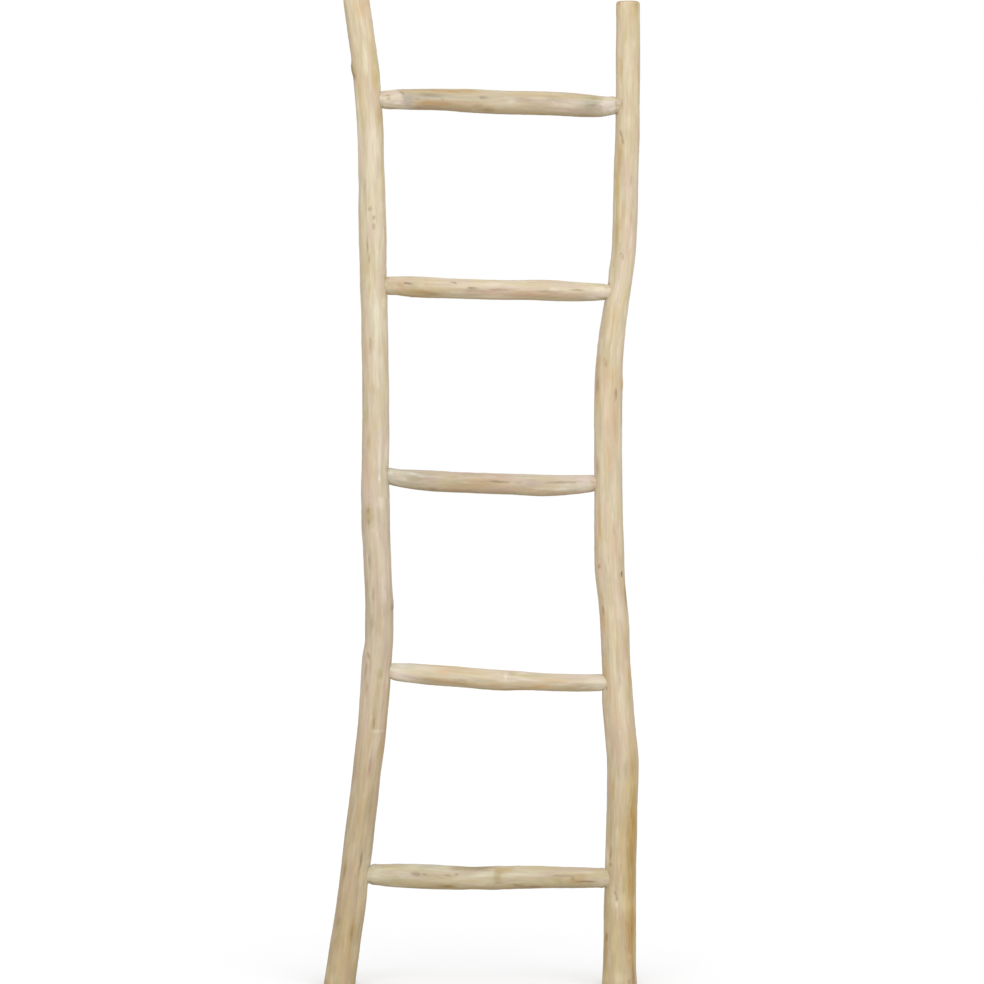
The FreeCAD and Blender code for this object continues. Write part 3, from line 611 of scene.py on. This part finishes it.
class Branch:
    """A branch as rings of points: its line, and its radius by place along it and angle round it.

    The angle is 0 at the front and a quarter turn at the side, which is the way that pixels count.
    """

    def __init__(self, node, seed, start, axis, side, along, hole_span, softness):
        self.node = node
        self.seed = seed
        self.start = np.array(start, float)
        self.axis = unit(np.array(axis, float))
        self.side = unit(np.array(side, float))
        self.front = np.cross(self.side, self.axis)
        self.along = along
        even = np.linspace(-math.pi, math.pi, SPOKES, endpoint=False)
        self.angles = even - CROWDING_SHARE * np.sin(even)
        self.ways = np.cos(self.angles)[:, None] * self.front + np.sin(self.angles)[:, None] * self.side
        step = along[1] - along[0]
        self.hole_places = int(hole_span / step)
        self.blur = blur_matrix(len(along), softness / step)
        self.surface = cad_surface(node)
        self.find_line()
        self.find_radius()

    def reach(self, point, outwards):
        """How far the solid reaches outwards from a point inside it, or 0 along a hole right through it."""
        start = Vector(point + RAY_START * outwards)
        *_, distance = self.surface.ray_cast(start, Vector(-outwards))
        return 0 if distance is None else RAY_START - distance

    def find_line(self):
        """The branch's middle, as offsets to the side and the front of its straight axis."""
        points = self.start + self.along[:, None] * self.axis
        offsets = []
        for way in (self.side, self.front):
            reaches = [(self.reach(point, way), self.reach(point, -way)) for point in points]
            reaches = running_median(np.array(reaches), self.hole_places)
            middle = self.blur @ ((reaches[:, 0] - reaches[:, 1]) / 2)
            points = points + middle[:, None] * way
            offsets.append(middle)
        self.sideways, self.forwards = offsets
        self.line = points

    def find_radius(self):
        """The radius all over, with sockets and nail holes filled in."""
        seen = np.array([[self.reach(point, way) for way in self.ways] for point in self.line])
        usual = running_median(seen, self.hole_places)
        self.radius = self.blur @ np.where(np.abs(seen - usual) < HOLE_DEPTH, seen, usual)
        self.mean_radius = self.radius.mean()

    def straighten(self, points):
        """Places along the branch, and offsets to the front and the side of its line."""
        apart = points - self.start
        along = apart @ self.axis
        forwards = apart @ self.front - np.interp(along, self.along, self.forwards)
        sideways = apart @ self.side - np.interp(along, self.along, self.sideways)
        return along, forwards, sideways

    def under_pixel(self, x, y):
        """Place along the branch and angle round it of what a pixel of the photograph shows."""
        eye = np.array(camera_place())
        point = np.array([(x - MIDDLE_PIXEL_X) * PIXEL, 0, (FLOOR_PIXEL_Y - y) * PIXEL])
        along, _, _ = self.straighten(point)
        depth = -(np.interp(along, self.along, self.forwards) + MARK_FRONT_SHARE * self.mean_radius)
        point = eye + (point - eye) * (CAMERA_DISTANCE + depth) / CAMERA_DISTANCE
        along, _, sideways = self.straighten(point)
        radius = self.radius[np.argmin(np.abs(self.along - along))].mean()
        return along, math.asin(max(-1.0, min(1.0, sideways / radius)))


def ripples(branch, waves, along, angle):
    """Heights of waves over a branch, about 1 high."""
    draw = np.random.default_rng(branch.seed + waves.seed)
    total = np.zeros(np.broadcast(angle, along).shape)
    for _ in range(WAVE_COUNT):
        turns = draw.integers(0, waves.lobes + 1)
        length = waves.length * draw.uniform(*WAVE_LENGTH_SHARES)
        pitch = 2 * math.pi / length * draw.choice((-1, 1))
        total += np.cos(turns * angle + pitch * along + draw.uniform(0, 2 * math.pi))
    return total / math.sqrt(WAVE_COUNT / 2)


def marks_of(branch):
    """Tints and marks with their places along and round a branch: the photograph's, and others behind."""
    marks = []
    for name, group in MARKS[branch.node].items():
        marks.extend((name, mark, branch.under_pixel(mark.x, mark.y)) for mark in group)
    draw = np.random.default_rng(branch.seed)
    low, high = branch.along[[0, -1]]
    for _ in range(int((high - low) / BACK_MARK_SPACING)):
        name, kind = BACK_MARKS[draw.integers(len(BACK_MARKS))]
        size = draw.uniform(*BACK_MARK_SIZE_SHARES)
        mark = kind._replace(long=size * kind.long, wide=size * kind.wide)
        turn = math.pi + draw.uniform(-1, 1) * BACK_MARK_REACH
        marks.append((name, mark, (draw.uniform(low, high), turn)))
    return marks


def mark_cover(branch, mark, place, along, angle):
    """How strongly a mark at its place covers the branch, from 0 to 1."""
    middle_along, middle_angle = place
    across = np.angle(np.exp(1j * (angle - middle_angle))) * branch.mean_radius
    ahead = along - middle_along
    tilt = math.radians(mark.tilt)
    slant = max(abs(math.cos(middle_angle)), MARK_EDGE_SHARE)
    lengthwise = (ahead * math.cos(tilt) + across * math.sin(tilt)) / (mark.long * PIXEL)
    crosswise = (across * math.cos(tilt) - ahead * math.sin(tilt)) / (mark.wide * PIXEL / slant)
    return np.exp(-((lengthwise**2 + crosswise**2) ** mark.crisp))


def relief(branch, along, angle):
    """Height of the wood above its smooth solid."""
    height = SWELL_HEIGHT * ripples(branch, SWELL, along, angle)
    height += SCRAPE_HEIGHT * ripples(branch, SCRAPE, along, angle)
    for _, mark, place in marks_of(branch):
        if mark.bump:
            height += mark.bump * MM * mark_cover(branch, mark, place, along, angle)
    return height


def stained(colour, cover, stain):
    """A colour multiplied by a stain, as far as the stain covers it."""
    return colour * (1 + cover[:, None] * (np.array(stain) - 1))


def tint(branch, along, angle):
    """Colour that multiplies the wood's own: tone and painted shade along the branch, painted shade below a
    rung, and marks.
    """
    low, high = branch.along[[0, -1]]
    stops, tone_and_shade = zip(*TONE_AND_SHADE_SHARES[branch.node])
    share = (along - low) / (high - low)
    colour = np.stack([np.interp(share, stops, channel) for channel in zip(*tone_and_shade)], axis=-1)
    # Painted shade below a rung's middle, fading out towards its fresh ends
    if branch.node in RUNGS:
        below = np.clip((np.sin(angle) + UNDERSIDE_SHARE) / (1 + UNDERSIDE_SHARE), 0, 1)
        from_end = np.minimum(along - low, high - along)
        below = below * np.clip((from_end - FRESH_END) / FRESH_BLEND, 0, 1)
        colour = stained(colour, below, UNDERSIDE_SHADE)
    warped_along = along + WARP_ALONG_SIZE * ripples(branch, WARP_ALONG, along, angle)
    warp_angle = WARP_ACROSS_SIZE / branch.mean_radius
    warped_angle = angle + warp_angle * ripples(branch, WARP_ACROSS, along, angle)
    streaks = STREAK_SHARE * ripples(branch, STREAKS, along, angle)
    for name, mark, place in marks_of(branch):
        cover = mark_cover(branch, mark, place, warped_along, warped_angle)
        uneven = 1 + streaks * min(mark.long / LONG_MARK, 1)
        colour = stained(colour, np.clip(mark.strength * uneven * cover, 0, 1), TINTS[name])
    return colour


def cap_rings(radius, rounding):
    """Steps past the end of a branch and the ring's radius there, from the rounded edge to the middle."""
    rings = []
    for step in range(1, ROUNDING_STEPS + 1):
        turn = math.pi / 2 * step / ROUNDING_STEPS
        rings.append((rounding * math.sin(turn), radius - rounding * (1 - math.cos(turn))))
    rings.extend((rounding, (radius - rounding) * share) for share in CAP_SHARES)
    return rings


def bake_cell(number, places):
    """Places from -1 to 1 laid in one cell of the bake map's lower band."""
    size = min(BAKE_BAND, 1 / BAKE_CELLS) / 2 - BAKE_MARGIN
    middle = np.array([(number + 0.5) / BAKE_CELLS, BAKE_BAND / 2])
    return middle + size * np.asarray(places)


def face_turns():
    """Where each face round a branch begins and ends, as shares of a full turn."""
    numbers = np.arange(SPOKES)
    return numbers / SPOKES, (numbers + 1) / SPOKES


def circle(turns):
    """Places round a circle of radius 1."""
    return np.stack([np.cos(2 * math.pi * turns), np.sin(2 * math.pi * turns)], axis=1)


def ring_places(ring, count, strips):
    """Bake map places of the four corners of every face between a ring and the next."""
    begins, ends = face_turns()
    body_ring = ring - CAP_RINGS
    body_span = count - 1 - 2 * CAP_RINGS
    if 0 <= body_ring < body_span:
        strip = min(int(body_ring / body_span * strips), strips - 1)
        left = strip / strips + BAKE_MARGIN
        width = 1 / strips - 2 * BAKE_MARGIN
        shares = [(body_ring + step) / body_span * strips - strip for step in (0, 1)]
        low, high = [BAKE_BAND + (1 - BAKE_BAND - BAKE_MARGIN) * share for share in shares]
        corners = [
            np.stack([left + width * turns, np.full(SPOKES, height)], axis=1)
            for turns, height in ((begins, low), (ends, low), (ends, high), (begins, high))
        ]
        return np.stack(corners, axis=1).reshape(-1, 2)
    cell = LOW_CAP_CELL if body_ring < 0 else HIGH_CAP_CELL
    steps = (ring + 1, ring + 2) if body_ring < 0 else (count - ring, count - ring - 1)
    near, far = [step / (CAP_RINGS + 1) for step in steps]
    corners = [
        size * circle(turns) for turns, size in ((begins, near), (ends, near), (ends, far), (begins, far))
    ]
    return bake_cell(cell, np.stack(corners, axis=1)).reshape(-1, 2)


def branch_mesh(branch, roundings, strips):
    """A closed mesh of the branch with its relief, and its bake map as strips side by side."""
    angle, along = np.meshgrid(branch.angles, branch.along)
    radius = branch.radius + relief(branch, along, angle)
    body = [line + size[:, None] * branch.ways for line, size in zip(branch.line, radius)]
    caps = []
    tips = []
    for end, rounding, out in ((0, roundings[0], -branch.axis), (-1, roundings[1], branch.axis)):
        line = branch.line[end]
        steps = cap_rings(radius[end], rounding)
        caps.append([line + past * out + size[:, None] * branch.ways for past, size in steps])
        tips.append(line + rounding * out)
    rings = caps[0][::-1] + body + caps[1]
    count = len(rings)
    here = np.arange(SPOKES)
    there = (here + 1) % SPOKES
    faces = []
    places = []
    for ring in range(count - 1):
        base = ring * SPOKES
        quad = np.stack([base + here, base + there, base + SPOKES + there, base + SPOKES + here], axis=1)
        faces.extend(quad.tolist())
        places.append(ring_places(ring, count, strips))
    low_tip = count * SPOKES
    high_base = low_tip - SPOKES
    spans = list(zip(here.tolist(), there.tolist()))
    faces.extend([low_tip, second, first] for first, second in spans)
    faces.extend([low_tip + 1, high_base + first, high_base + second] for first, second in spans)
    begins, ends = [circle(turns) / (CAP_RINGS + 1) for turns in face_turns()]
    for cell, edges in ((LOW_CAP_CELL, (ends, begins)), (HIGH_CAP_CELL, (begins, ends))):
        corners = np.stack([np.zeros_like(begins), *edges], axis=1)
        places.append(bake_cell(cell, corners).reshape(-1, 2))
    mesh = bpy.data.meshes.new(branch.node + "_wood")
    mesh.from_pydata(np.concatenate(rings + [np.array(tips)]).tolist(), [], faces)
    layer = mesh.uv_layers.new(name=BAKE_MAP)
    layer.data.foreach_set("uv", np.concatenate(places).astype(np.float32).ravel())
    return mesh


def add_object(name, data):
    added = bpy.data.objects.new(name, data)
    bpy.context.scene.collection.objects.link(added)
    return added


def cutting_mesh(cutters):
    """Round cutting bodies, each from a place along a way, with its walls in one cell of the bake map."""
    shape = bmesh.new()
    layer = shape.loops.layers.uv.new(BAKE_MAP)
    start_share, end_share = CUTTER_CELL_SHARES
    for place, way, radius, length, cell in cutters:
        spots = bmesh.ops.create_cone(
            shape, cap_ends=True, segments=CUTTER_SIDES, radius1=radius, radius2=radius, depth=length
        )["verts"]
        for spot in spots:
            size = (start_share if spot.co.z < 0 else end_share) / radius
            for loop in spot.link_loops:
                loop[layer].uv = bake_cell(cell, (spot.co.x * size, spot.co.y * size))
        turn = Vector(way).to_track_quat("Z", "Y").to_matrix().to_4x4()
        bmesh.ops.translate(shape, vec=(0, 0, length / 2), verts=spots)
        bmesh.ops.transform(shape, matrix=turn, verts=spots)
        bmesh.ops.translate(shape, vec=place, verts=spots)
    mesh = bpy.data.meshes.new("cutters")
    shape.to_mesh(mesh)
    shape.free()
    return mesh


def cut(piece, mesh):
    """Cuts a mesh's bodies out of a piece."""
    tool = add_object("cutting_tool", mesh)
    boolean = piece.modifiers.new("cut", "BOOLEAN")
    boolean.object = tool
    boolean.operation = "DIFFERENCE"
    boolean.solver = "MANIFOLD"
    graph = bpy.context.evaluated_depsgraph_get()
    result = bpy.data.meshes.new_from_object(piece.evaluated_get(graph))
    piece.modifiers.clear()
    piece.data = result
    bpy.data.objects.remove(tool)


def rail_branch(node, seed):
    low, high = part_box(node)
    start = ((low.x + high.x) / 2, 0, low.z)
    end = high.z - low.z - TOP_ROUNDING
    along = np.linspace(FOOT_ROUNDING, end, math.ceil((end - FOOT_ROUNDING) / RAIL_STEP))
    return Branch(node, seed, start, (0, 0, 1), (1, 0, 0), along, RAIL_HOLE_SPAN, RAIL_SOFTNESS)


def tenon_end(node, sign):
    """Middle of the round face at the end of a rung: sign -1 for its left end and 1 for its right."""
    places = mesh_points(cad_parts[node].data)
    outermost = (sign * places[:, 0]).max()
    rim = places[sign * places[:, 0] > outermost - TENON_RIM]
    return (rim.min(axis=0) + rim.max(axis=0)) / 2


def rung_branch(node, seed):
    left, right = tenon_end(node, -1), tenon_end(node, 1)
    axis = unit(right - left)
    down = np.array([0, 0, -1.0])
    side = unit(down - (down @ axis) * axis)
    length = np.linalg.norm(right - left)
    along = np.linspace(TENON_ROUNDING, length - TENON_ROUNDING, int(length / RUNG_STEP))
    return Branch(node, seed, left, axis, side, along, RUNG_HOLE_SPAN, RUNG_SOFTNESS)


def socket_cutter(rung, sign, cell):
    """What a rung's tenon needs cut out of its rail: sign 1 for its left end and -1 for its right."""
    tip = rung.line[0 if sign > 0 else -1]
    way = sign * rung.axis
    radius = rung.radius[sign * TENON_RING].mean() + SOCKET_GAP
    return tip - way * (TENON_ROUNDING + SOCKET_GAP), way, radius, SOCKET_REACH, cell


def nail_cutter(node, cell):
    """What a nail's head needs cut out of its rail."""
    low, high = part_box(node)
    radius = (high.x - low.x) / 2 + NAIL_GAP
    middle = (low + high) / 2
    return (middle.x, high.y - NAIL_SINK, middle.z), (0, 1, 0), radius, NAIL_REACH, cell


def dress(branch, mesh, material, cutters=()):
    """The shown piece of a branch, which stands for its CAD node."""
    piece = add_object(branch.node + "_wood", mesh)
    if cutters:
        cut(piece, cutting_mesh(cutters))
    mesh = piece.data
    along, forwards, sideways = branch.straighten(mesh_points(mesh))
    past_end = np.maximum(branch.along[0] - along, along - branch.along[-1])
    colour = tint(branch, along, np.arctan2(sideways, forwards))
    attributes = (
        ("grain", "FLOAT_VECTOR", "vector", np.stack([forwards, sideways, along + branch.seed], axis=1)),
        ("cut", "FLOAT", "value", np.clip(past_end / END_DEPTH, 0, 1)),
        ("tint", "FLOAT_COLOR", "color", np.column_stack([colour, np.ones(len(colour))])),
    )
    for name, kind, field, values in attributes:
        rows = mesh.attributes.new(name, kind, "POINT").data
        rows.foreach_set(field, values.astype(np.float32).ravel())
    mesh.shade_smooth()
    mesh.set_sharp_from_angle(angle=math.radians(SHARP_EDGE))
    coat(piece, material)
    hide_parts(branch.node)
    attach(piece, "root")
    return piece


def coat(piece, material):
    piece.data.materials.clear()
    piece.data.materials.append(material)


def feed(tree, sockets, values):
    """Links each value that is a socket to its input, and sets any other there."""
    for socket, value in zip(sockets, values):
        if isinstance(value, bpy.types.NodeSocket):
            tree.links.new(value, socket)
        else:
            socket.default_value = value


def set_inputs(tree, node, **inputs):
    feed(tree, [node.inputs[name.replace("_", " ")] for name in inputs], inputs.values())


def add_node(tree, kind, settings=(), **inputs):
    node = tree.nodes.new(kind)
    for name, value in dict(settings).items():
        setattr(node, name, value)
    set_inputs(tree, node, **inputs)
    return node


def maths(tree, operation, first, second):
    node = add_node(tree, "ShaderNodeMath", {"operation": operation})
    feed(tree, node.inputs, (first, second))
    return node.outputs[0]


def between(tree, value, span, levels=(0.0, 1.0)):
    """A level that rises smoothly while a value goes through a span."""
    node = add_node(tree, "ShaderNodeMapRange", {"interpolation_type": "SMOOTHSTEP"})
    feed(tree, node.inputs, (value, *span, *levels))
    return node.outputs[0]


def mix(tree, share, first, second, blend="MIX"):
    """Two colours mixed, or blended."""
    node = add_node(tree, "ShaderNodeMix", {"data_type": "RGBA", "blend_type": blend})
    feed(tree, [node.inputs[number] for number in MIX_INPUTS], (share, first, second))
    return node.outputs[MIX_RESULT]


def shaded(tree, colour, level):
    """A colour made lighter or darker by a level."""
    node = add_node(tree, "ShaderNodeVectorMath", {"operation": "SCALE"}, Scale=level)
    feed(tree, node.inputs, (colour,))
    return node.outputs[0]


def attribute(tree, name, output):
    return add_node(tree, "ShaderNodeAttribute", {"attribute_name": name}).outputs[output]


def opaque(colour):
    return (*colour, 1.0)


def grain_noise(tree, place, grain):
    across, along = grain.across * MM, grain.along * MM
    stretch = (1 / across, 1 / across, 1 / along)
    placed = add_node(tree, "ShaderNodeMapping", Vector=place, Location=[grain.shift] * 3, Scale=stretch)
    looks = {"Scale": 1.0, "Detail": grain.detail, "Roughness": NOISE_ROUGHNESS}
    noise = add_node(tree, "ShaderNodeTexNoise", Vector=placed.outputs[0], **looks)
    return noise.outputs[0]


def end_grain(tree, place):
    """Growth rings round a pith that isn't quite in the middle."""
    placed = add_node(tree, "ShaderNodeMapping", Vector=place, Location=PITH_OFFSET)
    rings = add_node(
        tree,
        "ShaderNodeTexWave",
        {"wave_type": "RINGS", "rings_direction": "Z"},
        Vector=placed.outputs[0],
        Scale=RING_WAVE / RING_SPACING,
        Distortion=RING_UNEVENNESS,
        Detail=RING_DETAIL,
    )
    light, dark = [opaque(colour) for colour in END_COLOURS]
    return mix(tree, rings.outputs["Fac"], light, dark)


def new_material(name):
    material = bpy.data.materials.new(name)
    material.use_nodes = True
    return material, material.node_tree, material.node_tree.nodes["Principled BSDF"]


def wood_material(name):
    material, tree, shader = new_material(name)
    place = attribute(tree, "grain", "Vector")
    colour = opaque(WOOD_COLOURS["cream"])
    for patch, (grain, span, most) in WOOD_LAYERS.items():
        share = between(tree, grain_noise(tree, place, grain), span, (0.0, most))
        colour = mix(tree, share, colour, opaque(WOOD_COLOURS[patch]))
    noises = {}
    for shade, (grain, levels) in SHADES.items():
        noises[shade] = grain_noise(tree, place, grain)
        colour = shaded(tree, colour, between(tree, noises[shade], NOISE_SPAN, levels))
    dash = between(tree, grain_noise(tree, place, DASHES), DASH_SPAN)
    cluster = between(tree, grain_noise(tree, place, CLUSTERS), CLUSTER_SPAN)
    dash = maths(tree, "MULTIPLY", dash, cluster)
    dark_share = maths(tree, "MULTIPLY", dash, DASH_SHARE)
    colour = mix(tree, dark_share, colour, opaque(WOOD_COLOURS["brown"]))
    sawn = between(tree, attribute(tree, "cut", "Fac"), END_SPAN)
    colour = mix(tree, sawn, colour, end_grain(tree, place))
    colour = mix(tree, 1.0, colour, attribute(tree, "tint", "Color"), "MULTIPLY")
    height = maths(tree, "MULTIPLY", noises["fibre"], FIBRE_HEIGHT_SHARE)
    height = maths(tree, "ADD", height, noises["streak"])
    height = maths(tree, "SUBTRACT", height, maths(tree, "MULTIPLY", dash, DASH_DEPTH_SHARE))
    bump = add_node(tree, "ShaderNodeBump", Height=height, Strength=BUMP_STRENGTH, Distance=BUMP_DEPTH)
    rough = between(tree, noises["streak"], NOISE_SPAN, WOOD_ROUGHNESS)
    set_inputs(tree, shader, Base_Color=colour, Roughness=rough, Specular_IOR_Level=WOOD_SHINE)
    set_inputs(tree, shader, Normal=bump.outputs[0])
    return material


def steel_material(name):
    material, tree, shader = new_material(name)
    place = add_node(tree, "ShaderNodeTexCoord").outputs["Object"]
    specks = add_node(tree, "ShaderNodeTexNoise", Vector=place, Scale=STEEL_SPECKS, Detail=STEEL_DETAIL)
    noise = specks.outputs[0]
    clean, worn = [opaque(colour) for colour in STEEL_COLOURS]
    colour = mix(tree, between(tree, noise, STEEL_COLOUR_SPAN), clean, worn)
    rough = between(tree, noise, NOISE_SPAN, STEEL_ROUGHNESS)
    set_inputs(tree, shader, Base_Color=colour, Roughness=rough, Metallic=1.0)
    return material


def make_floor():
    half = FLOOR_SIDE / 2
    corners = [(-half, -half, 0), (half, -half, 0), (half, half, 0), (-half, half, 0)]
    mesh = bpy.data.meshes.new("floor")
    mesh.from_pydata(corners, [], [(0, 1, 2, 3)])
    material, tree, shader = new_material("floor_white")
    white = opaque([FLOOR_WHITE] * 3)
    set_inputs(tree, shader, Base_Color=white, Roughness=1.0, Specular_IOR_Level=0.0)
    mesh.materials.append(material)
    floor = add_object("floor", mesh)
    floor.visible_diffuse = False  # the light from below is the world's own


def make_light():
    world = bpy.data.worlds.new("studio")
    world.use_nodes = True
    tree = world.node_tree
    tree.nodes.clear()
    way = add_node(tree, "ShaderNodeTexCoord").outputs["Generated"]
    height = add_node(tree, "ShaderNodeSeparateXYZ", Vector=way).outputs["Z"]
    ground = opaque([GROUND_LIGHT * channel for channel in GROUND_COLOUR])
    above = opaque([SKY_LIGHT] * 3)
    glow = mix(tree, between(tree, height, (-HORIZON_BLUR, HORIZON_BLUR)), ground, above)
    sky = add_node(tree, "ShaderNodeBackground", Color=glow)
    seen = add_node(tree, "ShaderNodeBackground", Color=opaque([BACKDROP_WHITE] * 3))
    path = add_node(tree, "ShaderNodeLightPath")
    either = add_node(tree, "ShaderNodeMixShader")
    feed(tree, either.inputs, (path.outputs["Is Camera Ray"], sky.outputs[0], seen.outputs[0]))
    add_node(tree, "ShaderNodeOutputWorld", Surface=either.outputs[0])
    bpy.context.scene.world = world
    lamp = bpy.data.lights.new("sun", "SUN")
    lamp.energy = SUN_LIGHT
    lamp.color = SUN_COLOUR
    lamp.angle = math.radians(SUN_ANGLE)
    turn, rise = math.radians(SUN_AZIMUTH), math.radians(SUN_ELEVATION)
    towards = Vector((math.sin(turn) * math.cos(rise), -math.cos(turn) * math.cos(rise), math.sin(rise)))
    add_object("sun", lamp).rotation_euler = towards.to_track_quat("Z", "Y").to_euler()


def make_camera():
    lens = bpy.data.cameras.new("camera")
    lens.sensor_width = SENSOR_WIDTH
    lens.lens = SENSOR_WIDTH * CAMERA_DISTANCE / (IMAGE_SIDE * PIXEL)
    lens.clip_end = CAMERA_REACH
    camera = add_object("camera", lens)
    camera.location = camera_place()
    camera.rotation_euler = (math.pi / 2, 0, 0)
    bpy.context.scene.camera = camera


def main():
    rungs = [rung_branch(node, seed) for seed, node in enumerate(RUNGS, RUNG_SEED)]
    rail_wood = wood_material("rail_wood")
    rung_wood = wood_material("rung_wood")
    steel = steel_material("nail_steel")
    for node, seed, sign in zip(RAILS, RAIL_SEEDS, (1, -1)):
        side = node.split("_")[0]
        cutters = [socket_cutter(rung, sign, cell) for cell, rung in enumerate(rungs, SOCKET_CELL)]
        cutters += [nail_cutter(f"{name}_{side}_nail", cell) for cell, name in enumerate(RUNGS, NAIL_CELL)]
        rail = rail_branch(node, seed)
        mesh = branch_mesh(rail, (FOOT_ROUNDING, TOP_ROUNDING), RAIL_STRIPS)
        piece = dress(rail, mesh, rail_wood, cutters)
    for rung in rungs:
        mesh = branch_mesh(rung, (TENON_ROUNDING, TENON_ROUNDING), RUNG_STRIPS)
        piece = dress(rung, mesh, rung_wood)
    for name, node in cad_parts.items():
        if name.endswith("_nail"):
            coat(node, steel)
    make_floor()
    make_light()
    make_camera()
    bpy.context.scene.view_settings.view_transform = "Standard"


main()
